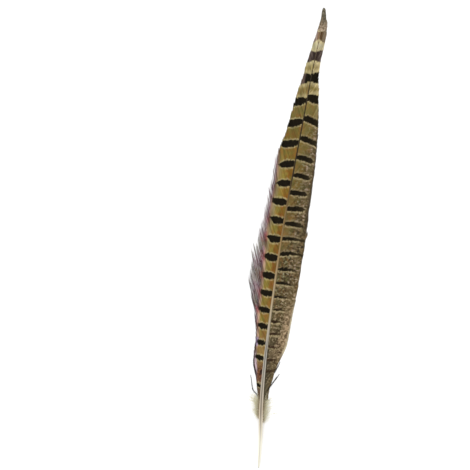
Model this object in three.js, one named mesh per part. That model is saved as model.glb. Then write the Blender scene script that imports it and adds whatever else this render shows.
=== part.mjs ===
// A cock pheasant's tail feather, lying on its underside on a flat surface.
//
// The feather runs along +Y: the quill's end is at the -Y end and the tip at the +Y end, +X is the
// broad vane's side and +Z is up. Lengths are millimetres. Along the feather every size is given
// against the distance from the quill's end, and across it against the distance from the shaft.

import * as THREE from "three";

// ---- Driving dimensions ----------------------------------------------------------------------

const FEATHER_LENGTH = 465;
const SHAFT_END = 457; // the shaft stops a little short of the tip, between the last barbs

// Each profile is a list of [distance from the quill's end, value].
const SHAFT_CENTRE = [
  [0, 0], [30, -2.4], [60, -6], [100, -8.6], [150, -9.8], [200, -10], [250, -9.3],
  [300, -7.1], [350, -4.6], [400, -2.3], [440, 0.3], [465, 0.6],
];
const SHAFT_WIDTH = [
  [0, 1.5], [5, 2.3], [20, 3.2], [45, 4], [80, 3.5], [120, 2.9], [200, 2.2], [300, 1.5],
  [400, 0.9], [457, 0.5],
];
const SHAFT_DEPTH = [
  [0, 1.4], [5, 2.2], [20, 3.1], [45, 3.9], [80, 3.9], [120, 3.5], [200, 2.7], [300, 1.8],
  [400, 1], [457, 0.45],
];
const SHAFT_UNDERSIDE = [
  [0, 0.2], [12, 0], [60, 1.7], [120, 4.5], [200, 6.6], [260, 6.9], [330, 5.6], [400, 2.9],
  [440, 0.9], [457, 0.1],
];
const GROOVE_DEPTH = [
  [0, 0], [60, 0], [100, 0.5], [200, 0.5], [300, 0.35], [400, 0.15], [457, 0],
];
const GROOVE_SHARE = 0.5; // the groove's width, as a share of the shaft's

// The narrow vane is on the left, with its loose fringe; the broad vane is on the right.
const NARROW_VANE = {
  side: -1,
  start: 74,
  width: [
    [74, 4.2], [90, 7], [100, 10.4], [120, 11.6], [150, 15.2], [170, 21], [190, 26], [205, 26.2],
    [235, 23.4], [270, 20], [300, 19.8], [330, 16.4], [350, 13.4], [380, 9.8], [400, 7.2],
    [430, 4.4], [450, 2], [465, 0.9],
  ],
};
const BROAD_VANE = {
  side: 1,
  start: 70,
  width: [
    [70, 6.4], [85, 8.4], [100, 12], [115, 16.6], [125, 20.2], [150, 22.3], [200, 24.3],
    [240, 24.4], [280, 22.4], [310, 20.3], [340, 17.4], [370, 12.4], [385, 9.2], [405, 6.7],
    [440, 6], [453, 3.7], [465, 1],
  ],
};
const VANE_THICKNESS = 0.5;
const VANE_HOLD = 0.62; // how far up the shaft's side the barbs grow from, as a share of its depth
const FLAT_MARGIN = 0.16; // the share of a vane's width that lies flat on the surface
const SHAFT_GAP = 0.3; // clear space between the shaft and the solids beside it

// Tufts of down on both sides of the quill, just below the vanes.
const DOWN_THICKNESS = 1.2;
const NARROW_DOWN = {
  side: -1,
  start: 47,
  end: 73.4,
  width: [[47, 3.4], [54, 6.4], [62, 10], [68, 11.4], [73.4, 9]],
};
const BROAD_DOWN = {
  side: 1,
  start: 44,
  end: 69.4,
  width: [[44, 3.4], [52, 7], [60, 11.6], [66, 12], [69.4, 10]],
};

const ROW_STEP = 8; // distance between the cross-sections of a solid
const SHAFT_POINTS = 9; // points across the shaft's upper face, and as many across its lower face
const VANE_POINTS = 9;
const DOWN_POINTS = 5;
const ROUND_TO = THREE.MathUtils.degToRad(76); // how far round the shaft's faces go before its sides

// ---- Curves ----------------------------------------------------------------------------------

// A smooth curve through a profile's points, which never swings past them (monotone cubic).
function along(profile, y) {
  const last = profile.length - 1;
  if (y <= profile[0][0]) return profile[0][1];
  if (y >= profile[last][0]) return profile[last][1];
  const slope = (i) =>
    (profile[i + 1][1] - profile[i][1]) / (profile[i + 1][0] - profile[i][0]);
  const tangent = (i) => {
    if (i === 0) return slope(0);
    if (i === last) return slope(last - 1);
    const before = slope(i - 1);
    const after = slope(i);
    return before * after <= 0 ? 0 : (2 * before * after) / (before + after);
  };
  const i = profile.findIndex((point) => point[0] > y) - 1;
  const span = profile[i + 1][0] - profile[i][0];
  const t = (y - profile[i][0]) / span;
  return (
    profile[i][1] * (1 + 2 * t) * (1 - t) ** 2 +
    profile[i + 1][1] * t * t * (3 - 2 * t) +
    span * tangent(i) * t * (1 - t) ** 2 -
    span * tangent(i + 1) * t * t * (1 - t)
  );
}

// Evenly spaced distances from start to end, both included.
function stations(start, end) {
  const count = Math.ceil((end - start) / ROW_STEP);
  return Array.from({ length: count + 1 }, (_, i) => start + ((end - start) * i) / count);
}

// Where the middle of a vane's thickness lies: it leaves the shaft level, droops, and its margin
// lies flat on the surface. reach is 0 at the shaft and 1 at the margin.
function vaneHeight(y, reach) {
  const held = along(SHAFT_UNDERSIDE, y) + VANE_HOLD * along(SHAFT_DEPTH, y);
  const resting = VANE_THICKNESS / 2;
  const fall = Math.min(1, reach / (1 - FLAT_MARGIN));
  const level = 1 - fall * fall * (3 - 2 * fall);
  return resting + Math.max(0, held - resting) * level;
}

// ---- Solids ----------------------------------------------------------------------------------

// A closed solid between an upper and a lower skin. Each row holds two lists of points, of one
// length and in +X order, and the rows run along +Y.
function slab(rows) {
  const across = rows[0].upper.length;
  const points = rows.flatMap((row) => [...row.upper, ...row.lower]);
  const upper = (i, j) => 2 * across * i + j;
  const lower = (i, j) => 2 * across * i + across + j;
  const faces = [];
  const quad = (a, b, c, d) => faces.push(a, b, c, a, c, d);
  const last = rows.length - 1;
  for (let i = 0; i < last; i++) {
    for (let j = 0; j < across - 1; j++) {
      quad(upper(i, j), upper(i, j + 1), upper(i + 1, j + 1), upper(i + 1, j));
      quad(lower(i, j), lower(i + 1, j), lower(i + 1, j + 1), lower(i, j + 1));
    }
    quad(lower(i, 0), upper(i, 0), upper(i + 1, 0), lower(i + 1, 0));
    const edge = across - 1;
    quad(upper(i, edge), lower(i, edge), lower(i + 1, edge), upper(i + 1, edge));
  }
  for (let j = 0; j < across - 1; j++) {
    quad(lower(0, j), lower(0, j + 1), upper(0, j + 1), upper(0, j));
    quad(upper(last, j), upper(last, j + 1), lower(last, j + 1), lower(last, j));
  }
  const geometry = new THREE.BufferGeometry().setFromPoints(points).setIndex(faces);
  geometry.computeVertexNormals();
  return geometry;
}

// The quill and the rachis in one piece: round at the quill's end, then domed above and grooved
// below, and ever finer towards the tip.
function shaftGeometry() {
  const rows = stations(0, SHAFT_END).map((y) => {
    const halfWidth = along(SHAFT_WIDTH, y) / 2;
    const halfDepth = along(SHAFT_DEPTH, y) / 2;
    const middle = along(SHAFT_UNDERSIDE, y) + halfDepth;
    const groove = along(GROOVE_DEPTH, y);
    const upper = [];
    const lower = [];
    for (let j = 0; j < SHAFT_POINTS; j++) {
      const share = (2 * j) / (SHAFT_POINTS - 1) - 1;
      const angle = share * ROUND_TO;
      const x = along(SHAFT_CENTRE, y) + (halfWidth * Math.sin(angle)) / Math.sin(ROUND_TO);
      const rise = halfDepth * Math.cos(angle);
      const inGroove = Math.max(0, 1 - (share / GROOVE_SHARE) ** 2);
      upper.push(new THREE.Vector3(x, y, middle + rise));
      lower.push(new THREE.Vector3(x, y, middle - rise + groove * inGroove));
    }
    return { upper, lower };
  });
  return slab(rows);
}

// A row of points from the shaft's side out to a width, in +X order, between two skins.
function rowBeside(side, y, width, count, heightAt, thicknessAt) {
  const inner = along(SHAFT_WIDTH, y) / 2 + SHAFT_GAP;
  const upper = [];
  const lower = [];
  for (let j = 0; j < count; j++) {
    const reach = j / (count - 1);
    const x = along(SHAFT_CENTRE, y) + side * THREE.MathUtils.lerp(inner, width, reach);
    const z = heightAt(y, reach);
    const half = thicknessAt(reach) / 2;
    upper.push(new THREE.Vector3(x, y, z + half));
    lower.push(new THREE.Vector3(x, y, z - half));
  }
  return side > 0
    ? { upper, lower }
    : { upper: upper.reverse(), lower: lower.reverse() };
}

function vaneGeometry({ side, start, width }) {
  const rows = stations(start, FEATHER_LENGTH).map((y) =>
    rowBeside(side, y, along(width, y), VANE_POINTS, vaneHeight, () => VANE_THICKNESS),
  );
  return slab(rows);
}

// A tuft of down: a soft pad that leaves the quill's side and droops, half as thick at its edge.
function downGeometry({ side, start, end, width }) {
  const height = (y, reach) => {
    const held = along(SHAFT_UNDERSIDE, y) + along(SHAFT_DEPTH, y) / 2;
    return THREE.MathUtils.lerp(held, DOWN_THICKNESS / 2, reach * reach);
  };
  const thickness = (reach) => DOWN_THICKNESS * (1 - reach / 2);
  const rows = stations(start, end).map((y) =>
    rowBeside(side, y, along(width, y), DOWN_POINTS, height, thickness),
  );
  return slab(rows);
}

// ---- The feather -----------------------------------------------------------------------------

const quillHorn = new THREE.MeshStandardMaterial({
  color: 0xcfc3a6,
  roughness: 0.42,
  metalness: 0,
});
const barredVane = new THREE.MeshStandardMaterial({
  color: 0x8a7544,
  roughness: 0.72,
  metalness: 0,
});
const mottledVane = new THREE.MeshStandardMaterial({
  color: 0x6d5f42,
  roughness: 0.72,
  metalness: 0,
});
const paleDown = new THREE.MeshStandardMaterial({
  color: 0xb7a98a,
  roughness: 0.95,
  metalness: 0,
});

const feather = new THREE.Group();

function add(name, geometry, material) {
  const mesh = new THREE.Mesh(geometry, material);
  mesh.name = name;
  feather.add(mesh);
}

add("shaft", shaftGeometry(), quillHorn);
add("narrow_vane", vaneGeometry(NARROW_VANE), barredVane);
add("broad_vane", vaneGeometry(BROAD_VANE), mottledVane);
add("narrow_side_down", downGeometry(NARROW_DOWN), paleDown);
add("broad_side_down", downGeometry(BROAD_DOWN), paleDown);

// The origin is under the middle of the feather, on the surface that it lies on.
const outline = new THREE.Box3().setFromObject(feather);
const middle = outline.getCenter(new THREE.Vector3());
feather.position.set(-middle.x, -middle.y, -outline.min.z);

export default feather;
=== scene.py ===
import math

import bmesh
import bpy
import numpy as np
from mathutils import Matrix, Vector

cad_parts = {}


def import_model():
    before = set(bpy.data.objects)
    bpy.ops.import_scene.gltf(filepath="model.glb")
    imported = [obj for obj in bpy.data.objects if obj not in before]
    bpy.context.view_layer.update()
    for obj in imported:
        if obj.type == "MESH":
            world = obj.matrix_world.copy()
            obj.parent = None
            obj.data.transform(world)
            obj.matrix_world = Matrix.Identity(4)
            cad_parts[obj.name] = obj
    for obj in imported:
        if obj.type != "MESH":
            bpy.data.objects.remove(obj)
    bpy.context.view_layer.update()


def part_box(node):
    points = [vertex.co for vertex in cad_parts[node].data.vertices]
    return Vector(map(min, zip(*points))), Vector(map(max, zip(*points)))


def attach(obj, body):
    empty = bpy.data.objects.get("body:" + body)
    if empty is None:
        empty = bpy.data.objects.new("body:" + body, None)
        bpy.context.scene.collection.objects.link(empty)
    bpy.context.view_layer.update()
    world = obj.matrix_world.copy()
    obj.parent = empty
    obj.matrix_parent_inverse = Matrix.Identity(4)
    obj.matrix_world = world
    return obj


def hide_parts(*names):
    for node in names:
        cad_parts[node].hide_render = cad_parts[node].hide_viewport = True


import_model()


# ---- The table, the light and the camera --------------------------------------------------------
# The feather lies on a plain white table in a pale room, under one wide soft lamp. The camera looks
# straight down on it and is turned, so that the feather leans to the right with its tip at the top.

MM = 0.001
QUILL_TO_BROADEST = 14.938 * MM  # sideways from the quill's end to the broad vane's margin
QUILL_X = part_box("broad_vane")[1].x - QUILL_TO_BROADEST
QUILL_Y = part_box("shaft")[0].y

VIEW_WIDTH = 470 * MM
VIEW_CENTRE = (-55.9 * MM, 227.4 * MM)  # from the quill's end
VIEW_LEVEL = 1 * MM  # the height at which the view is as wide as VIEW_WIDTH
LEAN = math.radians(8.04)
LENS = 100
SENSOR = 36

bpy.ops.object.camera_add(
    location=(
        QUILL_X + VIEW_CENTRE[0],
        QUILL_Y + VIEW_CENTRE[1],
        VIEW_LEVEL + VIEW_WIDTH * LENS / SENSOR,
    ),
    rotation=(0, 0, LEAN),
)
camera = bpy.context.object
camera.data.lens = LENS
camera.data.sensor_width = SENSOR
bpy.context.scene.camera = camera
bpy.context.scene.view_settings.view_transform = "Standard"

bpy.ops.mesh.primitive_plane_add(size=8, location=(0, 0, 0))
table = bpy.context.object
table.name = "table"
white = bpy.data.materials.new("white_table")
white.use_nodes = True
white.node_tree.nodes["Principled BSDF"].inputs["Base Color"].default_value = (0.97, 0.97, 0.97, 1)
white.node_tree.nodes["Principled BSDF"].inputs["Roughness"].default_value = 0.9
table.data.materials.append(white)

bpy.ops.object.light_add(type="SUN", rotation=(math.radians(-25), math.radians(-32), 0))
lamp = bpy.context.object
lamp.data.energy = 0.75
lamp.data.angle = math.radians(60)

world = bpy.data.worlds.new("pale_room")
world.use_nodes = True
world.node_tree.nodes["Background"].inputs["Color"].default_value = (1, 1, 1, 1)
world.node_tree.nodes["Background"].inputs["Strength"].default_value = 1.0
bpy.context.scene.world = world


# ---- The shaft ----------------------------------------------------------------------------------
# The quill and the rachis are one tapering rod of horn: round, hollow and pale at the quill's end,
# then domed above and grooved below, and ever thinner and browner towards the tip.


def profile(*points):
    """A smooth curve through points of (place, value), as a function."""
    places, values = np.array(points, float).T
    slopes = np.diff(values) / np.diff(places)
    before, after = slopes[:-1], slopes[1:]
    turning = before * after <= 0
    inner = 2 * before * after / np.where(turning, 1, before + after)
    tangents = np.concatenate([slopes[:1], np.where(turning, 0, inner), slopes[-1:]])

    def curve(place):
        place = np.clip(place, places[0], places[-1])
        i = np.clip(np.searchsorted(places, place, side="right") - 1, 0, len(slopes) - 1)
        span = places[i + 1] - places[i]
        t = (place - places[i]) / span
        ends = values[i] * (1 + 2 * t) * (1 - t) ** 2 + values[i + 1] * t * t * (3 - 2 * t)
        return ends + span * t * (1 - t) * (tangents[i] * (1 - t) - tangents[i + 1] * t)

    return curve


# All in millimetres, against the distance from the quill's end.
FEATHER_LENGTH = 465
SHAFT_END = 457
shaft_centre = profile(
    (0, 0), (30, -2.4), (60, -6), (100, -8.6), (150, -9.8), (200, -10), (250, -9.3),
    (300, -7.1), (350, -4.6), (400, -2.3), (440, 0.3), (465, 0.6),
)
shaft_width = profile(
    (0, 1.5), (5, 2.3), (20, 3.2), (45, 4), (80, 3.5), (120, 2.9), (200, 2.2), (300, 1.5),
    (400, 0.9), (457, 0.5),
)
shaft_depth = profile(
    (0, 1.4), (5, 2.2), (20, 3.1), (45, 3.9), (80, 3.9), (120, 3.5), (200, 2.7), (300, 1.8),
    (400, 1), (457, 0.45),
)
shaft_underside = profile(
    (0, 0.2), (12, 0), (60, 1.7), (120, 4.5), (200, 6.6), (260, 6.9), (330, 5.6), (400, 2.9),
    (440, 0.9), (457, 0.1),
)
groove_depth = profile((60, 0), (100, 0.5), (200, 0.5), (300, 0.35), (400, 0.15), (457, 0))
SHAFT_STEP = 8
SHAFT_SIDES = 16
GROOVE_SHARE = 0.5  # the groove's width, as a share of the shaft's
QUILL_WALL = 0.35
QUILL_HOLLOW = 6  # how deep the hole in the quill's end goes


def in_place(across, along, height):
    """A point of the frame, from millimetres beside, along and above the quill's end."""
    return Vector((QUILL_X + across * MM, QUILL_Y + along * MM, height * MM))


def shaft_middle(along):
    height = shaft_underside(along) + shaft_depth(along) / 2
    return in_place(float(shaft_centre(along)), along, float(height))


def points_of(piece):
    """The piece's vertices in millimetres: across and along from the quill's end."""
    found = np.empty(3 * len(piece.data.vertices), np.float32)
    piece.data.vertices.foreach_get("co", found)
    return (found.reshape(-1, 3)[:, :2] - (QUILL_X, QUILL_Y)).T / MM


def record(piece, **values):
    """Keeps numbers at the piece's vertices, for its finish to read."""
    for name, value in values.items():
        layer = piece.data.attributes.new(name, "FLOAT", "POINT")
        layer.data.foreach_set("value", np.ascontiguousarray(value, np.float32).ravel())


bpy.ops.object.select_all(action="DESELECT")
bpy.ops.mesh.primitive_circle_add(
    vertices=SHAFT_SIDES,
    radius=MM / 2,
    fill_type="NGON",
    location=shaft_middle(0),
    rotation=(math.pi / 2, 0, 0),
)
shaft = bpy.context.object
shaft.name = "quill_and_rachis"
bpy.ops.object.transform_apply(location=True, rotation=True, scale=True)
bpy.ops.object.mode_set(mode="EDIT")
bpy.ops.mesh.select_all(action="SELECT")
bpy.ops.transform.resize(
    value=(float(shaft_width(0)), 1, float(shaft_depth(0))), center_override=shaft_middle(0)
)
stations = np.linspace(0, SHAFT_END, round(SHAFT_END / SHAFT_STEP) + 1)
for here, ahead in zip(stations[:-1], stations[1:]):
    bpy.ops.mesh.extrude_region_move(
        TRANSFORM_OT_translate={"value": shaft_middle(ahead) - shaft_middle(here)}
    )
    bpy.ops.transform.resize(
        value=(
            float(shaft_width(ahead) / shaft_width(here)),
            1,
            float(shaft_depth(ahead) / shaft_depth(here)),
        ),
        center_override=shaft_middle(ahead),
    )

# The quill's open end: a thin wall round a short hole.
bpy.ops.mesh.select_all(action="DESELECT")
mesh = bmesh.from_edit_mesh(shaft.data)
for vertex in mesh.verts:
    vertex.select = vertex.co.y < QUILL_Y + MM / 10
mesh.select_flush_mode()
bpy.ops.mesh.edge_face_add()
bpy.ops.mesh.inset(thickness=QUILL_WALL * MM)
bpy.ops.mesh.extrude_region_move(TRANSFORM_OT_translate={"value": (0, QUILL_HOLLOW * MM, 0)})
bpy.ops.mesh.select_all(action="SELECT")
bpy.ops.mesh.normals_make_consistent(inside=False)

# The groove, pressed into the underside.
mesh = bmesh.from_edit_mesh(shaft.data)
for vertex in mesh.verts:
    along = (vertex.co.y - QUILL_Y) / MM
    beside = vertex.co - shaft_middle(along)
    share = beside.x / MM / (shaft_width(along) / 2)
    if beside.z < 0:
        vertex.co.z += groove_depth(along) * MM * max(0, 1 - (share / GROOVE_SHARE) ** 2)
bpy.ops.object.mode_set(mode="OBJECT")
rounding = shaft.modifiers.new("rounding", "SUBSURF")
rounding.levels = rounding.render_levels = 1
bpy.ops.object.modifier_apply(modifier=rounding.name)
bpy.ops.object.shade_smooth()

shaft_across, shaft_along = points_of(shaft)
record(
    shaft,
    along=shaft_along,
    side=(shaft_across - shaft_centre(shaft_along)) / (shaft_width(shaft_along) / 2),
)


class Wire:
    """A socket in a finish. Python's sums on it add the Math nodes that work them out."""

    def __init__(self, finish, socket):
        self.finish = finish
        self.socket = socket

    def sum(self, operation, first, second=0.0):
        return self.finish.node("ShaderNodeMath", {"operation": operation}, {0: first, 1: second})

    def __add__(self, other):
        return self.sum("ADD", self, other)

    def __sub__(self, other):
        return self.sum("SUBTRACT", self, other)

    def __rsub__(self, other):
        return self.sum("SUBTRACT", other, self)

    def __mul__(self, other):
        return self.sum("MULTIPLY", self, other)

    def __truediv__(self, other):
        return self.sum("DIVIDE", self, other)

    def __abs__(self):
        return self.sum("ABSOLUTE", self)

    def __mod__(self, other):
        return self.sum("FLOORED_MODULO", self, other)

    __radd__ = __add__
    __rmul__ = __mul__


class Finish:
    """A material made of nodes, round one Principled shader."""

    def __init__(self, name):
        self.material = bpy.data.materials.new(name)
        self.material.use_nodes = True
        self.tree = self.material.node_tree
        self.shader = self.tree.nodes["Principled BSDF"]

    def fill(self, node, sockets):
        for key, value in sockets.items():
            if isinstance(value, Wire):
                self.tree.links.new(value.socket, node.inputs[key])
            else:
                node.inputs[key].default_value = value

    def node(self, kind, settings=None, sockets=None, output=0):
        """Adds a node. A ramp's settings are its stops, as (place, colour)."""
        node = self.tree.nodes.new(kind)
        for key, value in (settings or {}).items():
            if key == "stops":
                ramp = node.color_ramp.elements
                while len(ramp) < len(value):
                    ramp.new(0.5)
                for stop, (place, colour) in zip(ramp, value):
                    stop.position = place
                    stop.color = colour
            else:
                setattr(node, key, value)
        self.fill(node, sockets or {})
        return Wire(self, node.outputs[output])

    def recorded(self, *names):
        return [
            self.node("ShaderNodeAttribute", {"attribute_name": name}, output="Fac")
            for name in names
        ]

    def point(self, x, y, z=0.0):
        return self.node("ShaderNodeCombineXYZ", sockets={0: x, 1: y, 2: z})

    def noise(self, place, detail=2.0, roughness=0.5, distortion=0.0):
        """Soft noise from 0 to 1, with lumps about one unit of the place across."""
        sockets = {
            "Vector": place,
            "Scale": 1.0,
            "Detail": detail,
            "Roughness": roughness,
            "Distortion": distortion,
        }
        return self.node("ShaderNodeTexNoise", sockets=sockets)

    def rise(self, value, low, high):
        """0 below low and 1 above high, and smooth between them."""
        sockets = {"Value": value, "From Min": low, "From Max": high}
        return self.node("ShaderNodeMapRange", {"interpolation_type": "SMOOTHSTEP"}, sockets)

    def lengthways(self, along, *stops):
        """A colour that changes along the feather, by stops of (millimetres, colour)."""
        stops = [(place / FEATHER_LENGTH, colour) for place, colour in stops]
        return self.node("ShaderNodeValToRGB", {"stops": stops}, {0: along / FEATHER_LENGTH})

    def mix(self, first, second, share):
        """From the first colour to the second."""
        settings = {"data_type": "RGBA", "clamp_factor": True}
        return self.node("ShaderNodeMix", settings, {0: share, 6: first, 7: second}, output=2)

    def dim(self, colour, amount):
        """The colour times an amount."""
        return self.node("ShaderNodeVectorMath", {"operation": "SCALE"}, {0: colour, "Scale": amount})

    def bump(self, height, distance):
        return self.node("ShaderNodeBump", sockets={"Height": height, "Distance": distance})


def paint(red, green, blue):
    """A colour given as a paint chart gives it, from 0 to 255, as linear light."""
    channels = [c / 255 for c in (red, green, blue)]
    return tuple(c / 12.92 if c <= 0.04045 else ((c + 0.055) / 1.055) ** 2.4 for c in channels) + (1,)


def horn_finish():
    """Cream horn that turns grey and then dark brown, and is a lighter brown at the tip."""
    finish = Finish("quill_horn")
    along, side = finish.recorded("along", "side")
    horn = finish.lengthways(
        along,
        (25, paint(249, 245, 226)), (55, paint(203, 188, 165)), (110, paint(173, 168, 157)),
        (150, paint(141, 129, 107)), (220, paint(129, 106, 68)), (300, paint(80, 64, 36)),
        (405, paint(66, 54, 34)), (440, paint(146, 124, 98)),
    )
    fibre = finish.noise(finish.point(side * 2.6, along * 0.03), detail=3.0, roughness=0.7)

    # Along the middle runs a dark line, then a pale ridge from about 130 mm, and a dark line again
    # from about 280 mm. From there to about 415 mm the right side is darker too: painted shade on
    # the side of the shaft that faces away from the light.
    middle = 0.7 - 0.28 * finish.rise(along, 28, 60) + 1.4 * finish.rise(along, 115, 150)
    middle = middle - 0.5 * finish.rise(along, 160, 225) - 1.07 * finish.rise(along, 255, 295)
    middle = middle + 0.5 * finish.rise(along, 380, 440)
    right = 1 - 0.65 * finish.rise(along, 262, 297) * (1 - finish.rise(along, 400, 430))
    tone = 1 + (middle - 1) * finish.rise(side + fibre * 0.4, -0.6, -0.1)
    tone = tone + (right - tone) * finish.rise(side + fibre * 0.4, 0.25, 0.7)
    streaked = finish.rise(along, 38, 60) * (1 - finish.rise(along, 110, 170) * 0.5)
    colour = finish.dim(horn, tone * (0.96 + (fibre - 0.5) * (0.2 + 2.2 * streaked)))
    finish.fill(
        finish.shader,
        {
            "Base Color": colour,
            "Roughness": 0.45,
            "Specular IOR Level": 0.15,
            "Normal": finish.bump(fibre, 0.05 * MM),
        },
    )
    return finish.material


shaft.data.materials.append(horn_finish())
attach(shaft, "root")
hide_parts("shaft")


# ---- The two vanes ------------------------------------------------------------------------------
# Each vane is a web of several hundred barbs of keratin, which grow out of the shaft's side and
# sweep towards the tip. Tiny hooks zip each barb to the next; the narrow vane's outer part is loose.

BARB_PITCH = 0.5  # along the shaft
BARB_STEPS = 14
BARB_DEPTH = 0.09
BARB_OVERLAP = 1.8  # a barb's width with its barbules, as a share of the room it has
LOOSE_WIDTH = 0.24  # a barb's width where it isn't zipped to the next
LOCK_LENGTHS = (3, 10)  # the shortest and the longest lock of barbs, along the shaft
VANE_HOLD = 0.62  # how far up the shaft's side the barbs grow, as a share of its depth
VANE_ROOT = 0.42  # how far from the shaft's middle the barbs start, as a share of its width
MARGIN_HEIGHT = 0.25
MARGIN_LYING = 0.16  # the share of a vane's width that lies flat on the table
TIP_CLOSES = (445, 456)  # from here to here the barbs' roots draw in to the shaft's middle
TIP_WIDENS = (438, 450)  # from here to here the least width of a barb grows, to cover the tip

narrow_outline = profile(
    (60, 2.4), (70, 3.6), (80, 5.4), (90, 7.1), (100, 10.4), (110, 11.9), (120, 11.9), (130, 12.2),
    (140, 13.3), (150, 15.2), (160, 17.3), (170, 21), (180, 24), (190, 26), (200, 26.4),
    (220, 24.6), (240, 23.1), (260, 21.2), (280, 19.4), (300, 19.8), (310, 19.7), (320, 18.3),
    (330, 16.2), (350, 13.4), (370, 11.7), (380, 10.5), (390, 9.1), (400, 7.9), (410, 6.9),
    (420, 5.9), (430, 5), (440, 3.6), (446, 2.5), (455, 1.5), (461, 1.6), (463.6, 1.3), (465, 0.5),
)
broad_outline = profile(
    (55, 2.6), (62, 5), (70, 6.6), (80, 7.4), (90, 9.8), (100, 12), (110, 15), (115, 16.8),
    (120, 18.8), (125, 20.2), (140, 21.7), (160, 22.7), (180, 23.8), (200, 24.3), (230, 24.6),
    (234, 24.6), (237, 25.7), (241, 24.3), (250, 23.9), (270, 22.9), (290, 21.9), (310, 20.4),
    (330, 18.6), (350, 15.9), (370, 12.5), (380, 10.7), (390, 8.2), (400, 6.9), (420, 6.2),
    (440, 6.4), (446, 6.2), (451, 5.6), (454, 4.2), (457, 3.3), (461, 2.5), (463.6, 1.7), (465, 0.7),
)
# How far from the shaft the narrow vane's barbs are zipped together.
narrow_web = profile(
    (60, 5), (100, 7.4), (110, 8.9), (119, 9.3), (126, 8.6), (133, 9), (150, 10.6), (180, 11.5),
    (200, 12.2), (215, 12.8), (230, 13.8), (280, 13.8), (300, 14.6), (315, 16.5), (330, 20), (465, 30),
)
# The barbs' slopes, as the way along the feather for each millimetre out, at root and margin.
root_slope = profile(
    (60, 1.25), (300, 1.25), (400, 1.7), (440, 2.8), (450, 5), (455, 14), (457, 60)
)
margin_slope = profile(
    (60, 2.6), (150, 2.7), (300, 3), (400, 3.6), (440, 5), (450, 8), (455, 18), (457, 60)
)


def drift(place, wavelength, chance):
    """A slow random drift from -1 to 1 along a row of places."""
    count = int(np.ptp(place) / wavelength) + 3
    knots = place.min() + wavelength * (np.arange(count) - 1 + chance.uniform())
    values = chance.uniform(-1, 1, count)
    i = np.clip(np.searchsorted(knots, place) - 1, 0, count - 2)
    t = np.clip((place - knots[i]) / wavelength, 0, 1)
    t = t * t * (3 - 2 * t)
    return values[i] * (1 - t) + values[i + 1] * t


def strands(name, path, width, depth):
    """A piece made of closed strands. path is (strand, step, xyz) in millimetres."""
    count, steps = path.shape[:2]
    heading = np.gradient(path, axis=1)
    beside = np.stack([heading[..., 1], -heading[..., 0], 0 * heading[..., 0]], -1)
    beside /= np.linalg.norm(beside, axis=-1, keepdims=True)
    above = np.cross(beside, heading)
    above /= np.linalg.norm(above, axis=-1, keepdims=True)
    out = beside * width[..., None] / 2
    up = above * depth[..., None] / 2
    ring = np.stack([path + up, path + out, path - up, path - out], axis=2)
    corners = ring.reshape(-1, 3) * MM + (QUILL_X, QUILL_Y, 0)
    at = np.arange(count * steps * 4).reshape(count, steps, 4)
    near, far = at[:, :-1], at[:, 1:]
    turned, turned_far = np.roll(near, -1, axis=2), np.roll(far, -1, axis=2)
    walls = np.stack([near, turned, turned_far, far], -1).reshape(-1, 4)
    caps = np.concatenate([at[:, 0, ::-1], at[:, -1]])
    data = bpy.data.meshes.new(name)
    data.from_pydata(corners, [], np.concatenate([walls, caps]).tolist())
    piece = bpy.data.objects.new(name, data)
    bpy.context.scene.collection.objects.link(piece)
    return piece


def vane_height(along, out, width):
    """The barbs leave the shaft level, droop, and end lying on the table."""
    held = shaft_underside(along) + VANE_HOLD * shaft_depth(along)
    fall = np.clip(out / (width * (1 - MARGIN_LYING)), 0, 1)
    level = 1 - fall * fall * (3 - 2 * fall)
    return MARGIN_HEIGHT + np.maximum(held - MARGIN_HEIGHT, 0) * level


FARTHEST_OUT = 40.0  # more than any barb reaches
HALVINGS = 40


def reach_of(root, outline, slope):
    """How far out each barb reaches before it meets the outline, by halving."""
    low, high = np.zeros_like(root), np.full_like(root, FARTHEST_OUT)
    for _ in range(HALVINGS):
        middle = (low + high) / 2
        end = root + middle * slope
        inside = (outline(end) > middle) & (end < FEATHER_LENGTH)
        low = np.where(inside, middle, low)
        high = np.where(inside, high, middle)
    return low


def locks(root, shortest, longest, chance):
    """Splits a row of barbs into locks. For each barb: its place in its lock, from -1 to 1, half
    the lock's length, and how strongly the lock draws together."""
    ends = [root[0] - 1]
    while ends[-1] < root[-1]:
        ends.append(ends[-1] + chance.uniform(shortest, longest))
    ends = np.array(ends)
    i = np.searchsorted(ends, root) - 1
    half = np.diff(ends)[i] / 2
    return (root - ends[i]) / half - 1, half, chance.uniform(0, 1, len(ends))[i]


def ease(value, low, high):
    """0 below low and 1 above high, and smooth between them."""
    t = np.clip((value - low) / (high - low), 0, 1)
    return t * t * (3 - 2 * t)


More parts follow.
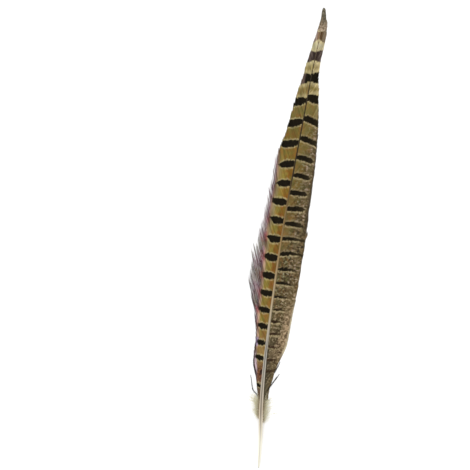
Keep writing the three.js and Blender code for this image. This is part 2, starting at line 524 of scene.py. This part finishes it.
def vane(name, side, start, outline, web, seed):
    """A vane's barbs as one piece, with what its finish reads."""
    chance = np.random.default_rng(seed)
    root = np.arange(start, SHAFT_END, BARB_PITCH)
    count = len(root)
    first, last = root_slope(root), margin_slope(root)
    room_out = np.maximum(reach_of(root, outline, (first + last) / 2), 0.1)
    in_lock, half_lock, draw = locks(root, *LOCK_LENGTHS, chance)
    loose_end = np.clip((room_out - web(root + room_out * (first + last) / 2)) / 4, 0, 1)
    loose_end *= ease(root, 85, 125)
    ragged = 0.2 * drift(root, 1.3, chance) + 0.25 * drift(root, 5, chance)
    wisps = loose_end * (chance.uniform(-1.8, 0.5, count) + 2.6 * draw**2 * (1 - in_lock**2))
    uneven = (ragged - 0.12 * in_lock**2) * np.clip(room_out / 8, 0, 1)
    reach = np.maximum(room_out + uneven + wisps, 0.1)
    t = np.linspace(0, 1, BARB_STEPS) ** 0.9
    root, first, last, room_out, reach = (x[:, None] for x in (root, first, last, room_out, reach))
    in_lock, half_lock, draw = (x[:, None] for x in (in_lock, half_lock, draw))

    # How a barb curves depends on the outline, not on its own length, so neighbours stay together.
    # The last barbs leave the shaft's very end and close the tip.
    held = np.minimum(shaft_width(root) * VANE_ROOT, reach * 0.4) * (1 - ease(root, *TIP_CLOSES))
    out = held + (reach - held) * t
    along = root + first * reach * t + (last - first) * (reach * t) ** 2 / (2 * room_out)
    beyond = out - web(along)
    loose = np.clip((beyond - 1.5) / 3.5, 0, 1) ** 0.7

    # Zipped barbs crowd together a little near the margin. Loose ones splay, wander, and draw
    # together in locks at their tips.
    wander = drift(root[:, 0], 1.1, chance)[:, None]
    lean = drift(root[:, 0], 9, chance)[:, None]
    tip = np.clip(1 - (reach - out) / 6, 0, 1) ** 1.5
    gather = -in_lock * half_lock * (0.02 * t**4 + (0.12 + 0.6 * draw**2) * loose * tip)
    along = along + 0.2 * wander * t + 0.4 * lean * t**3 + gather
    along = along - loose * np.clip(beyond, 0, None) * (0.1 + 0.1 * lean + 0.1 * wander)
    turn = chance.uniform(0, 2 * math.pi, (count, 1))
    out = out + 0.3 * loose * np.sin(turn + beyond * 0.5)
    height = vane_height(along, out, outline(along))
    height = height + 0.09 * (draw - 0.5) * t + 0.03 * wander
    height = height + 0.22 * loose * (1 + np.sin(turn * 3 + beyond * 0.4))

    room = BARB_PITCH / np.sqrt(1 + (first + (last - first) * t) ** 2)
    taper = 1 - 0.65 * tip
    width = room * BARB_OVERLAP * (1 - loose) + LOOSE_WIDTH * taper * loose
    width = np.maximum(width, 0.1 + 0.2 * ease(along, *TIP_WIDENS))
    width[:, -1] *= 0.3
    depth = BARB_DEPTH * (1 - 0.5 * t) + 0 * width
    across = shaft_centre(along) + side * out
    along = np.minimum(along, FEATHER_LENGTH)
    piece = strands(name, np.stack([across, along, height], -1), width, depth)

    shape = (count, BARB_STEPS, 4)
    tone = 0.5 + 0.3 * drift(root[:, 0], 0.9, chance) + 0.2 * drift(root[:, 0], 2.6, chance)
    values = {
        "along": along, "out": out, "root": root, "tone": tone[:, None],
        "beyond": beyond, "inset": outline(along) - out,
    }
    record(piece, **{k: np.broadcast_to(v[..., None], shape) for k, v in values.items()})
    record(piece, under=np.broadcast_to([0, 0.5, 1, 0.5], shape))
    return piece


def bar_marks(piece, centres, rise, thickness):
    """Records how far along the row of bars each point is, and half a bar's thickness there.

    centres are the bars' middles at the shaft, from the quill up. rise is how much further
    along a bar is at this place than at the shaft, in millimetres."""
    across, along = points_of(piece)
    out = np.abs(across - shaft_centre(along))
    ends = (2 * centres[0] - centres[1], 2 * centres[-1] - centres[-2])
    places = np.concatenate([ends[:1], centres, ends[1:]])
    level = along - rise(along, out)
    phase = np.interp(level, places, np.arange(len(places)))
    spacing = np.interp(level, places, np.gradient(places))
    record(piece, bar=phase, bar_half=thickness(along, out) / 2, spacing=spacing)


# Where the vane's upper side is on its flat map: the lower left corner, and how wide and long.
MAP_CORNER = (0.01, 0.005)
MAP_SIZE = (0.47, 0.99)


def bake_map(piece):
    """A flat map of the vane: the upper side on the left half and the underside on the right."""
    across, along = points_of(piece)
    data = piece.data
    corner = np.empty(len(data.loops), np.int32)
    data.loops.foreach_get("vertex_index", corner)
    facing = np.empty(3 * len(data.polygons), np.float32)
    data.polygons.foreach_get("normal", facing)
    below = np.repeat(facing.reshape(-1, 3)[:, 2] < 0, 4)
    sideways = (across[corner] - across.min()) / np.ptp(across)
    lengthways = (along[corner] - along.min()) / np.ptp(along)
    layer = data.uv_layers.new(name="OFBake")
    map_across = MAP_CORNER[0] + MAP_SIZE[0] * sideways + 0.5 * below
    map_along = MAP_CORNER[1] + MAP_SIZE[1] * lengthways
    layer.uv.foreach_set("vector", np.stack([map_across, map_along], -1).astype(np.float32).ravel())


narrow_vane = vane("narrow_vane_barbs", -1, 62, narrow_outline, narrow_web, 11)
broad_vane = vane("broad_vane_barbs", 1, 57, broad_outline, lambda along: broad_outline(along) + 2, 12)

NARROW_BARS = (
    82, 95.8, 109.5, 124.8, 141.3, 157.5, 174.5, 192, 210.3, 229, 247.7, 266.5, 286, 306, 327.2,
    348.9, 370.4, 393.5, 415.5, 437,
)
narrow_rise = profile(
    (60, 0), (225, 0), (250, 0.03), (268, 0), (300, -0.17), (330, -0.21), (350, -0.29), (380, -0.27),
    (400, -0.25), (415, -0.12), (426, -0.3), (465, -0.5),
)
narrow_thickness = profile(
    (77, -3), (80, 4.4), (88, 4.6), (93, 7), (99, 7), (104, 5.2), (110, 5.6), (140, 6.2), (160, 6.4),
    (180, 7.2), (230, 7.8), (300, 7.8), (325, 7.5), (350, 8.2), (372, 8.6), (393, 11), (415, 12),
    (437, 13), (450, 2),
)


def narrow_bar_end(along, out):
    """How much of its thickness a bar has lost towards its outer end, from 0 to 1. The lowest and
    the topmost bars are blunt, and so is the one at 266.5 mm."""
    pointed = (0.4 + 0.6 * ease(along, 205, 228)) * (1 - 0.6 * ease(along, 340, 380))
    blunt = 0.6 * ease(along, 253, 262) * (1 - ease(along, 271, 279))
    return 0.85 * ease(out / narrow_web(along), 0.7, 1.08) * pointed * (1 - blunt)


def narrow_bar_start(along, out):
    """The second bar is only a mark beside the shaft."""
    return 1 - 1.2 * ease(out, 2.8, 4.4) * ease(along, 87, 91) * (1 - ease(along, 100, 104))


# Below 262 mm a bar's end rises as it thins, so that it is mostly the lower side that slants.
bar_marks(
    narrow_vane,
    NARROW_BARS,
    lambda along, out: narrow_rise(along) * out
    + 0.3 * narrow_thickness(along) * narrow_bar_end(along, out) * (1 - ease(along, 262, 290)),
    lambda along, out: narrow_thickness(along)
    * (0.7 + 0.3 * ease(out, 1, 5))
    * (1 - narrow_bar_end(along, out))
    * narrow_bar_start(along, out),
)

BROAD_BARS = (
    97, 108.2, 121.5, 134.6, 147, 158.8, 171.8, 185.6, 199, 214, 230, 245, 260, 276.8, 294.3,
    312.6, 332, 352.2, 373, 393.4, 415.5, 437,
)
broad_rise = profile(
    (60, 0), (187, -0.02), (200, 0.04), (215, 0.16), (231, 0.06), (245, 0.02), (262, 0.12),
    (278, 0.02), (295, -0.07), (313, -0.13), (331, -0.2), (350, -0.24), (372, -0.05), (394, 0.14),
    (415, 0.2), (440, 0), (465, 0),
)
broad_arch = profile(
    (60, 0.4), (190, 0.8), (215, 1), (231, 0.8), (246, 0.9), (262, 0.3), (278, 0.3), (295, 1.1),
    (313, 0.8), (350, 0.7), (380, 0), (465, 0),
)
broad_thickness = profile(
    (90, -4), (94, 2), (108, 2.4), (122, 2.8), (147, 3), (160, 2.4), (187, 3.1), (200, 3.4),
    (216, 4.6), (231, 4.4), (250, 5.2), (300, 5.6), (340, 6.4), (372, 8), (394, 11), (415, 12),
    (437, 13), (450, 2),
)
broad_bar_reach = profile(
    (60, 10), (122, 13), (135, 12), (147, 12), (160, 14.5), (172, 16), (187, 20), (200, 21), (215, 27),
    (231, 27), (246, 20.5), (262, 19), (295, 18.5), (313, 18.5), (331, 32), (465, 32),
)


def broad_bar_start(along, out):
    """The lower bars get thin where the mottling starts, and stop short of the margin."""
    thin = 0.42 * ease(out, 8, 20) * (1 - ease(along, 236, 250))
    limit = broad_bar_reach(along)
    return (1 - thin) * (1 - 1.1 * ease(out, limit - 3, limit + 1))


bar_marks(
    broad_vane,
    BROAD_BARS,
    lambda along, out: broad_rise(along) * out + broad_arch(along) * (1 - (out / 9 - 1) ** 2),
    lambda along, out: broad_thickness(along)
    * (0.75 + 0.25 * ease(out, 1, 4))
    * broad_bar_start(along, out),
)

BAR_BLACK = paint(23, 18, 6)
BAR_BROWN = paint(56, 44, 40)
CREAM = paint(204, 190, 142)
UNDER_GREY = paint(128, 118, 100)


def bars(finish, along, root, out):
    """How far above the nearest bar's middle, how black it is, and the pale lines beside it, which
    are wide near the tip."""
    bar, bar_half, spacing = finish.recorded("bar", "bar_half", "spacing")
    edge = finish.noise(finish.point(root * 0.45, out * 0.3), detail=2.0)
    teeth = finish.noise(finish.point(root * 1.5, out * 0.25, 5.0), detail=1.0)
    above = ((bar + 0.5) % 1.0 - 0.5) * spacing + (edge - 0.5) * 4.0 + (teeth - 0.5) * 3.5
    past = abs(above) - bar_half
    narrowed = past * (1 - 0.65 * finish.rise(along, 366, 380))
    line = 1 - finish.rise(narrowed + (edge - teeth) * 3.0, 0.5, 1.7)
    return above, 1 - finish.rise(past, -0.25, 0.25), line


def upper_bar_colours(finish, along, out, root, black, faded):
    """The last black bar is followed by a dark brown one, streaked outwards, and a faded one."""
    streaks = finish.noise(finish.point(root * 0.7, out * 0.1, 8.0), detail=2.0)
    streaks = finish.rise(streaks, 0.46, 0.6) * finish.rise(out, 1.5, 4)
    brown = finish.mix(BAR_BROWN, paint(104, 90, 82), streaks)
    colour = finish.mix(black, brown, finish.rise(along, 400, 410))
    return finish.mix(colour, faded, finish.rise(along, 424, 430))


def worn_tip(finish, colour, along, out):
    """Above the faded bar the tip is brown and then grey, with soft dark and pale flecks."""
    flecks = finish.noise(finish.point(out * 1.1, along * 0.55, 2.0), detail=2.0, roughness=0.6)
    grey = finish.mix(paint(148, 130, 106), paint(104, 98, 82), finish.rise(along, 447, 456))
    grey = finish.mix(grey, paint(62, 52, 38), finish.rise(flecks, 0.46, 0.62) * 0.75)
    light = 1 - finish.rise(flecks, 0.36, 0.48)
    pale = finish.mix(paint(228, 206, 184), paint(140, 134, 116), finish.rise(along, 446, 451))
    grey = finish.mix(grey, pale, light * 0.8)
    return finish.mix(colour, grey, finish.rise(along, 440.8, 442.2))


def streaky(finish, colour, along, root, out, tone, depth):
    """Barbs differ a little in depth of colour, singly and in bands of a few, more so at the vane's
    foot and near its tip."""
    streaks = finish.noise(finish.point(root * 0.33, out * 0.12), detail=3.0, roughness=0.7)
    ends = finish.rise(along, 355, 385) + 1.2 * (1 - finish.rise(along, 86, 114))
    uneven = (streaks - 0.5) * (1.2 + 1.2 * ends)
    return finish.dim(colour, depth * (0.7 + uneven + 0.6 * tone))


def barb_shader(finish, colour, under):
    """Dull barbs, greyer on their underside."""
    colour = finish.mix(colour, UNDER_GREY, finish.rise(under, 0.45, 0.55) * 0.45)
    finish.fill(finish.shader, {"Base Color": colour, "Roughness": 0.65, "Specular IOR Level": 0.05})
    return finish.material


# Places along the narrow vane: its second bar, which is only a mark, and a spot of painted lilac
# sheen in its fringe.
BROWN_MARK = 96
LILAC_SHEEN_SPOT = 125


def narrow_finish():
    """Orange brown by the shaft and olive outwards, black bars, and a mauve and crimson fringe."""
    finish = Finish("narrow_vane_barbs")
    along, out, root, tone = finish.recorded("along", "out", "root", "tone")
    beyond, inset, under = finish.recorded("beyond", "inset", "under")
    lumps = finish.noise(finish.point(out * 0.3, along * 0.14), detail=2.0)

    colour = finish.lengthways(
        along,
        (80, paint(112, 92, 72)), (94, paint(146, 94, 64)), (108, paint(146, 120, 74)),
        (150, paint(146, 112, 52)), (200, paint(120, 82, 34)), (290, paint(134, 96, 34)),
        (345, paint(116, 100, 50)), (402, paint(147, 131, 82)), (424, paint(196, 188, 150)),
    )
    olive = finish.rise(along, 115, 150) * (1 - finish.rise(along, 290, 335))
    olive = olive * finish.rise(out + lumps * 8, 8, 12)
    colour = finish.mix(colour, paint(149, 131, 61), olive)
    hue = finish.noise(finish.point(out * 0.35, along * 0.16, 4.0), detail=1.0)
    hue = (hue - 0.5) * finish.rise(along, 112, 130) * (1 - finish.rise(along, 370, 400))
    colour = finish.mix(colour, paint(112, 112, 52), hue * 2.4)
    colour = finish.mix(colour, paint(150, 84, 40), hue * -2.0)
    flecks = finish.noise(finish.point(out * 0.6, along * 0.5, 6.0), detail=2.0, roughness=0.7)
    foot = finish.rise(along, 78, 86) * (1 - finish.rise(along, 100, 108))
    colour = finish.mix(colour, paint(58, 38, 30), finish.rise(flecks, 0.45, 0.64) * foot * 0.75)
    pale = finish.rise(out + lumps * 5, 11.5, 16) * finish.rise(along, 110, 170)
    pale = pale * (1 - finish.rise(along, 262, 325))
    colour = finish.mix(colour, paint(146, 132, 94), pale)

    above, black, line = bars(finish, along, root, out)
    colour = finish.mix(colour, CREAM, line * finish.rise(abs(along - BROWN_MARK), 6, 9) * 0.6)
    faded = finish.mix(paint(132, 104, 74), paint(150, 132, 120), finish.rise(out, 1, 3))
    worn = finish.rise(out, 4.5, 6.5) * finish.rise(along, 380, 388)
    black_colour = finish.mix(BAR_BLACK, paint(98, 82, 74), worn)
    brown_mark = 1 - finish.rise(abs(along - BROWN_MARK), 5, 8)
    black_colour = finish.mix(black_colour, paint(58, 36, 28), brown_mark)
    bar_colour = upper_bar_colours(finish, along, out, root, black_colour, faded)
    colour = finish.mix(colour, bar_colour, black)

    # The fringe is tan beside the web, then mauve and grey, and crimson by the bars' ends.
    patchy = finish.noise(finish.point(out * 0.25, along * 0.07, 7.0))
    tawny = finish.rise(patchy, 0.42, 0.6) * (1 - finish.rise(along, 225, 250) * 0.7)
    fringe = finish.mix(paint(134, 103, 112), paint(128, 115, 98), tawny)
    tan = finish.mix(paint(184, 152, 126), paint(146, 120, 92), finish.rise(along, 195, 228))
    fringe = finish.mix(tan, fringe, finish.rise(beyond, 0.5, 3))
    crimson = (1 - finish.rise(abs(above + 1.2), 1.8, 6.5)) * (1 - finish.rise(beyond, 3, 9))
    crimson = crimson * finish.rise(along, 120, 160) * (1 - finish.rise(along, 236, 266))
    fringe = finish.mix(fringe, paint(142, 72, 72), crimson * 0.65)
    fringe = finish.mix(fringe, paint(96, 84, 78), finish.rise(beyond, 7, 14) * 0.6)
    # At the vane's foot it is pinkish white, with a painted lilac sheen by one bar. Its margin is
    # maroon up to about 200 mm.
    fringe = finish.mix(paint(214, 190, 196), fringe, finish.rise(along, 109, 119))
    painted_lilac_sheen = 1 - finish.rise(abs(along - LILAC_SHEEN_SPOT), 3, 6)
    fringe = finish.mix(fringe, paint(146, 134, 178), painted_lilac_sheen * 0.7)
    dark_edge = (1 - finish.rise(inset, 0.8, 2.1)) * (1 - finish.rise(along, 180, 225))
    fringe = finish.mix(fringe, paint(66, 42, 44), dark_edge * 0.85)
    strand = finish.noise(finish.point(root * 0.13, out * 0.05, 9.0), detail=4.0, roughness=0.75)
    fringe = finish.dim(fringe, 0.42 + 1.05 * finish.rise(strand, 0.38, 0.62))
    colour = finish.mix(colour, fringe, finish.rise(beyond - black * 1.8, -1.4, 0.6))

    colour = worn_tip(finish, colour, along, out)
    colour = streaky(finish, colour, along, root, out, tone, 0.81)
    return barb_shader(finish, colour, under)


def broad_finish():
    """Olive brown with thin dark bars, mottled outwards, and a dark margin."""
    finish = Finish("broad_vane_barbs")
    along, out, root, tone = finish.recorded("along", "out", "root", "tone")
    inset, under = finish.recorded("inset", "under")
    lumps = finish.noise(finish.point(out * 0.3, along * 0.1), detail=2.0)

    inner = finish.lengthways(
        along,
        (60, paint(112, 102, 80)), (100, paint(82, 73, 55)), (145, paint(98, 87, 59)),
        (185, paint(93, 79, 51)), (245, paint(113, 93, 52)), (310, paint(116, 98, 50)),
        (382, paint(132, 116, 64)), (404, paint(147, 130, 86)), (424, paint(190, 182, 152)),
    )
    # Outwards it is sandy at the foot, a dull olive higher up, and a little paler near the tip.
    sandy = finish.rise(along, 95, 140) * (1 - finish.rise(along, 142, 176))
    outer = finish.mix(paint(104, 90, 62), paint(164, 140, 108), sandy)
    outer = finish.mix(outer, inner, finish.rise(along, 335, 365))
    outer = finish.mix(outer, paint(198, 188, 162), 0.2 * finish.rise(along, 345, 370))
    inward = 6 * (1 - finish.rise(along, 112, 132))
    inward = inward - 3 * finish.rise(along, 128, 140) * (1 - finish.rise(along, 165, 190))
    colour = finish.mix(inner, outer, finish.rise(out + lumps * 8 + inward, 12, 18))
    hue = finish.noise(finish.point(out * 0.3, along * 0.16, 4.0), detail=1.0)
    hue = (hue - 0.5) * finish.rise(along, 120, 190) * (1 - finish.rise(along, 360, 390))
    hue = hue * (1 - finish.rise(out, 11, 16) * 0.6)
    grain = finish.noise(finish.point(out * 0.8, along * 0.7, 6.0), detail=2.0)
    hue = hue + (grain - 0.5) * finish.rise(along, 120, 190) * (1 - finish.rise(along, 300, 340)) * 0.7
    colour = finish.mix(colour, paint(104, 104, 58), hue * 2.4)
    colour = finish.mix(colour, paint(136, 96, 50), hue * -2.4)

    # Dark and pale squiggles, crowded in some places and sparse in others, and faint beside the
    # shaft. The pale ones are sandy low down, and above that greenish and, further out, pinkish.
    crowded = finish.noise(finish.point(out * 0.14, along * 0.09, 3.0), detail=1.0)
    marks = finish.noise(
        finish.point(out * 0.36 + crowded * 1.5, along * 0.42), detail=3.0, roughness=0.75, distortion=0.6
    )
    crowded = 0.65 + 0.35 * finish.rise(crowded, 0.4, 0.6)
    low = 1 - finish.rise(along, 190, 240)
    edge = out + low * 8 + (lumps - 0.5) * 16
    marked = (0.25 + 0.75 * finish.rise(edge, 4, 13)) * (1 - finish.rise(along, 335, 365))
    marked = marked * finish.rise(along, 78, 92)
    dark = finish.mix(paint(56, 42, 30), paint(28, 22, 18), finish.rise(along, 170, 230))
    heavy = 0.9 - 0.35 * finish.rise(along, 240, 290)
    heavy = heavy - 0.3 * (1 - finish.rise(along, 165, 190)) * (1 - finish.rise(out, 7, 11))
    colour = finish.mix(colour, dark, finish.rise(marks, 0.49, 0.57) * marked * crowded * heavy)
    light = (1 - finish.rise(marks, 0.37, 0.46)) * marked * (1 - finish.rise(out, 16, 22) * 0.3)
    light = light * (1 - finish.rise(along, 192, 222) * (1 - finish.rise(along, 240, 265)) * 0.5)
    light = light * (0.6 + 0.4 * finish.rise(along, 104, 122))
    tint = finish.mix(paint(154, 152, 124), paint(184, 162, 142), finish.rise(out, 10, 14))
    tint = finish.mix(paint(192, 170, 138), tint, finish.rise(along, 165, 190))
    colour = finish.mix(colour, tint, light * crowded)

    # At the foot the vane is darker beside the shaft, partly its own darker base and partly painted
    # shade from the raised shaft. Its margin is pale low down, and dark above that.
    painted_shaft_shade = (1 - finish.rise(out, 1.6, 4)) * (1 - finish.rise(along, 110, 130))
    colour = finish.dim(colour, 1 - painted_shaft_shade * 0.45)
    margin = 1 - finish.rise(inset + lumps * 2 + 1.6 * finish.rise(along, 270, 300), 2.5, 5)
    dark_margin = margin * finish.rise(along, 222, 252) * (1 - finish.rise(along, 345, 385))
    colour = finish.mix(colour, paint(58, 49, 36), dark_margin * 0.8)
    pale_margin = (1 - finish.rise(inset, 0.6, 2.6)) * finish.rise(along, 108, 120)
    pale_margin = pale_margin * (1 - finish.rise(along, 150, 178))
    colour = finish.mix(colour, paint(208, 196, 164), pale_margin * 0.65)

    above, black, line = bars(finish, along, root, out)
    below = line * finish.rise(0.0 - above, 0.4, 1.2) * (1 - finish.rise(out, 17, 21))
    colour = finish.mix(colour, paint(196, 178, 134), below * 0.7 * finish.rise(along, 112, 124))
    over = line * finish.rise(above, 0.4, 1.2) * (1 - finish.rise(out, 17, 21))
    colour = finish.mix(colour, paint(186, 168, 132), over * 0.35 * finish.rise(along, 190, 220))
    colour = finish.mix(colour, CREAM, line * finish.rise(along, 366, 380) * 0.5)
    faded = finish.mix(paint(80, 60, 38), paint(128, 112, 90), finish.rise(out, 1.5, 4.5))
    brown_black = finish.mix(paint(64, 46, 30), BAR_BLACK, finish.rise(along, 104, 190))
    olive_end = finish.rise(out, 9, 15) * (1 - finish.rise(along, 172, 196))
    brown_black = finish.mix(brown_black, paint(54, 45, 30), olive_end * 0.85)
    brown_end = finish.rise(along, 172, 196) * (1 - finish.rise(along, 350, 380))
    brown_black = finish.mix(brown_black, paint(47, 39, 22), finish.rise(out, 9, 19) * brown_end)
    bar_colour = upper_bar_colours(finish, along, out, root, brown_black, faded)
    faint = 1 - (1 - finish.rise(along, 165, 190)) * finish.rise(out + lumps * 4, 8, 14) * 0.35
    colour = finish.mix(colour, bar_colour, black * faint)

    colour = worn_tip(finish, colour, along, out)
    colour = streaky(finish, colour, along, root, out, tone, 0.93)
    return barb_shader(finish, colour, under)


narrow_vane.data.materials.append(narrow_finish())
broad_vane.data.materials.append(broad_finish())
for piece, node in ((narrow_vane, "narrow_vane"), (broad_vane, "broad_vane")):
    bake_map(piece)
    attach(piece, "root")
    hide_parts(node)


# ---- The down -----------------------------------------------------------------------------------
# Below the vanes the barbs are down: short, soft and curled, with long hair-thin barbules that
# don't hook, so each side of the quill carries a soft tuft.

DOWN_STEPS = 8
HAIR_STEPS = 3
DOWN_WIDTH = 0.1
HAIR_WIDTH = 0.045
DOWN_BARBS = 96  # on each side, besides the stray ones
DOWN_BARBULE = 2.8
DOWN_GAP = 0.3  # between barbules, along a barb

# Each in degrees, as the mean and the spread. A rise of 0 is straight out and 90 is along the quill.
DOWN_RISE = (50, 14)
DOWN_BEND = (6, 22)
BARBULE_TURN = (48, 12)
BARBULE_BEND = (25, 20)


def curled(start, heading, bend, length, steps):
    """Curved paths seen from above, each with its start, heading, bend and length."""
    t = np.linspace(0, 1, steps)
    angle = heading[:, None] + bend[:, None] * t
    step = length[:, None] / (steps - 1)
    across = np.cumsum(np.cos(angle) * step, axis=1) - np.cos(angle[:, :1]) * step
    along = np.cumsum(np.sin(angle) * step, axis=1) - np.sin(angle[:, :1]) * step
    return start[:, None, :2] + np.stack([across, along], -1)


def with_barbules(name, path, width, long, gap, chance):
    """A piece made of barbs along a path, with barbules up to a length on both sides of each."""
    count, steps = path.shape[:2]
    barbs = strands(name, path, width, np.minimum(width, BARB_DEPTH))
    heading = np.gradient(path[..., :2], axis=1)
    angle = np.arctan2(heading[..., 1], heading[..., 0])
    length = np.linalg.norm(np.diff(path, axis=1), axis=-1).sum(axis=1)
    which = np.repeat(np.arange(count), (length / gap).astype(int))
    along_barb = chance.uniform(0.06, 1, len(which))
    place = along_barb * (steps - 1)
    i = np.minimum(place.astype(int), steps - 2)
    part = (place - i)[:, None]
    foot = path[which, i] * (1 - part) + path[which, i + 1] * part
    hair_side = chance.choice([-1, 1], len(which))
    turn = angle[which, i] + hair_side * np.radians(chance.normal(*BARBULE_TURN, len(which)))
    hair_length = long * chance.uniform(0.45, 1, len(which)) * (1.1 - 0.55 * along_barb)
    hair_bend = -hair_side * np.radians(chance.normal(*BARBULE_BEND, len(which)))
    hair = curled(foot, turn, hair_bend, hair_length, HAIR_STEPS)
    s = np.linspace(0, 1, HAIR_STEPS)
    hair_height = np.maximum(foot[:, 2:] + chance.uniform(-0.5, 0.5, (len(which), 1)) * s, 0.05)
    hair_width = HAIR_WIDTH * (1 - 0.4 * s) + 0 * hair_height
    hair = np.concatenate([hair, hair_height[..., None]], -1)
    hairs = strands(name + "_barbules", hair, hair_width, hair_width)

    bpy.ops.object.select_all(action="DESELECT")
    hairs.select_set(True)
    barbs.select_set(True)
    bpy.context.view_layer.objects.active = barbs
    bpy.ops.object.join()
    return barbs


def down_tuft(name, node, side, start, end, longest, stray, seed):
    """One side's down. longest is how long its barbs are, and stray are a few longer ones."""
    chance = np.random.default_rng(seed)
    root = np.sort(chance.uniform(start, end, DOWN_BARBS))
    length = longest(root) * chance.uniform(0.5, 1.1, len(root))
    root = np.concatenate([root, stray[0]])
    length = np.concatenate([length, stray[1]])
    count = len(root)
    rise = np.radians(chance.normal(*DOWN_RISE, count))
    bend = np.radians(chance.normal(*DOWN_BEND, count))
    rise[-len(stray[0]):] = np.radians(stray[2])
    bend[-len(stray[0]):] = np.radians(stray[3])
    heading = rise if side > 0 else math.pi - rise
    bend = bend * side
    held = shaft_underside(root) + shaft_depth(root) * chance.uniform(0.3, 0.7, count)
    base = np.stack([shaft_centre(root) + side * shaft_width(root) * 0.4, root], -1)
    path = curled(base, heading, bend, length, DOWN_STEPS)
    t = np.linspace(0, 1, DOWN_STEPS)
    floor = chance.uniform(0.15, 1.6, (count, 1))
    height = held[:, None] + (floor - held[:, None]) * (1 - (1 - t) ** 1.6)
    path = np.concatenate([path, height[..., None]], -1)
    width = DOWN_WIDTH * (1 - 0.6 * t) + 0 * height
    tuft = with_barbules(name, path, width, DOWN_BARBULE, DOWN_GAP, chance)
    across, along = points_of(tuft)
    record(tuft, out=np.abs(across - shaft_centre(along)))
    tuft.data.materials.append(down_finish(name))
    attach(tuft, "root")
    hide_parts(node)


def down_finish(name):
    """Olive cream, browner by the quill."""
    finish = Finish(name)
    place = finish.node("ShaderNodeTexCoord", output="Object")
    (out,) = finish.recorded("out")
    lumps = finish.noise(finish.dim(place, 700.0), detail=2.0)
    colour = finish.mix(paint(166, 150, 118), paint(222, 217, 188), finish.rise(out + lumps * 3, 3, 7))
    finish.fill(finish.shader, {"Base Color": colour, "Roughness": 0.8, "Specular IOR Level": 0.1})
    return finish.material


down_tuft(
    "narrow_side_down_tuft", "narrow_side_down", -1, 48, 66,
    profile((45, 4), (52, 10), (62, 13), (73, 9)),
    ((50, 58), (15, 14), (35, 20), (20, 30)),
    21,
)
down_tuft(
    "broad_side_down_tuft", "broad_side_down", 1, 44, 66,
    profile((42, 4), (48, 9), (58, 11.5), (70, 9)),
    ((49, 51.5, 53), (16, 15, 11), (48, 36, 70), (-35, -28, -40)),
    22,
)


# ---- The free barbs -----------------------------------------------------------------------------
# At the foot of each vane a few dark barbs have come away from the web. Each is a bare strand of
# keratin with short barbules, and stands off on its own.

FREE_STEPS = 16
FREE_WIDTH = 0.5
FREE_BARBULE = 1.2
FREE_GAP = 0.025

# Each by its points, in millimetres across and along from the quill's end.
FREE_BARBS = (
    ((-9.4, 68), (-12.2, 72.6), (-16, 76), (-17.6, 79.6), (-19.2, 85.4), (-20.9, 91)),
    ((-14.6, 90), (-16.2, 94.6), (-18, 98), (-19.2, 101.4), (-19.9, 105.4), (-20.3, 110.6)),
    ((-3.4, 76), (-1, 80.2), (2, 85.6), (4.8, 90.4), (7.4, 95.6)),
    ((1.2, 94), (3.4, 99), (5, 103), (6.6, 108)),
    ((-1.6, 79), (1, 84), (3.4, 88.4), (5.2, 92.4)),
)


def free_barb_path(points):
    """Evenly spaced points of a curve through a few, drooping from the web to the table."""
    across, along = np.array(points).T
    place = np.linspace(0, 1, len(points))
    t = np.linspace(0, 1, FREE_STEPS)
    across = profile(*zip(place, across))(t)
    along = profile(*zip(place, along))(t)
    out = np.abs(across - shaft_centre(along))
    outline = broad_outline if points[-1][0] > 0 else narrow_outline
    lift = 0.3 * np.sin(math.pi * t) - 0.1
    return np.stack([across, along, vane_height(along, out, outline(along)) + lift], -1)


free_paths = np.array([free_barb_path(points) for points in FREE_BARBS])
free_widths = profile((0, 0.3), (0.2, 1), (0.85, 0.9), (1, 0.3))(np.linspace(0, 1, FREE_STEPS))
free_widths = np.tile(FREE_WIDTH * free_widths, (len(FREE_BARBS), 1))
free_barbs = with_barbules(
    "free_barbs", free_paths, free_widths, FREE_BARBULE, FREE_GAP, np.random.default_rng(31)
)
free_finish = Finish("free_barbs")
free_finish.fill(
    free_finish.shader,
    {"Base Color": paint(34, 31, 30), "Roughness": 0.6, "Specular IOR Level": 0.1},
)
free_barbs.data.materials.append(free_finish.material)
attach(free_barbs, "root")
